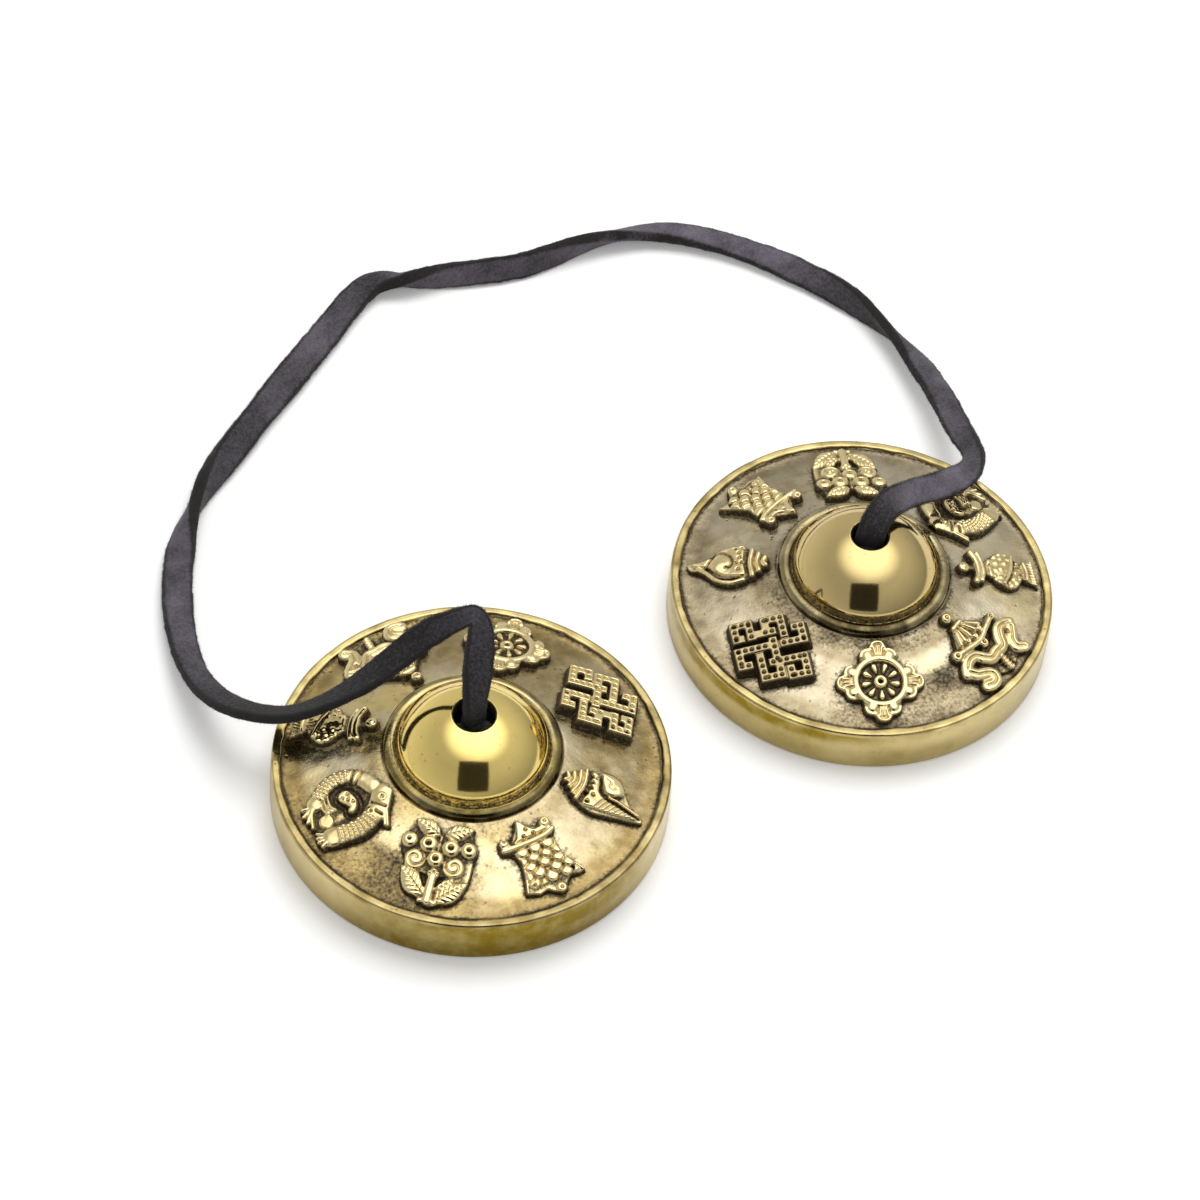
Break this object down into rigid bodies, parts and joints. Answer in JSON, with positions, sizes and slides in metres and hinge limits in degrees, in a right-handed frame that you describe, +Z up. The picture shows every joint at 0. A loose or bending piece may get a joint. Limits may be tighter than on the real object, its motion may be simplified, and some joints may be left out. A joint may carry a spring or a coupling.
{
  "type": "tingsha cymbals",
  "caption": "Cast brass hand cymbals with domed centres and a ring of relief emblems on each, joined by a knotted leather strap and rung by striking the rims together.",
  "frame": {"origin": "on the table, midway between the two cymbals", "axes": "+Z up along the axis of the holes, +X from the left cymbal to the right one"},
  "size_m": [0.1525, 0.1403, 0.0351],
  "materials": {
    "brass": "cast brass, polished dome and rim, patinated field with bright emblem tops",
    "suede": "matt slate-blue suede with a fuzzy nap"
  },
  "bodies": {
    "strap_left": {"strap_left": "suede", "left_knot": "suede"},
    "left_cymbal": {"left_cymbal": "brass"},
    "strap_right": {"strap_right": "suede", "right_knot": "suede"},
    "right_cymbal": {"right_cymbal": "brass"}
  },
  "joints": [
    {"name": "left_swivel", "type": "hinge", "parent": "strap_left", "child": "left_cymbal", "pos_m": [-0.03837, 0, 0.019], "axis": [0, 0, 1], "continuous": true},
    {"name": "strap_bend", "type": "hinge", "parent": "strap_left", "child": "strap_right", "pos_m": [0.0253, 0.0982, 0.002], "axis": [0, 0, 1], "range_deg": [-6.2, 60]},
    {"name": "right_swivel", "type": "hinge", "parent": "strap_right", "child": "right_cymbal", "pos_m": [0.03837, 0, 0.019], "axis": [0, 0, 1], "continuous": true}
  ]
}
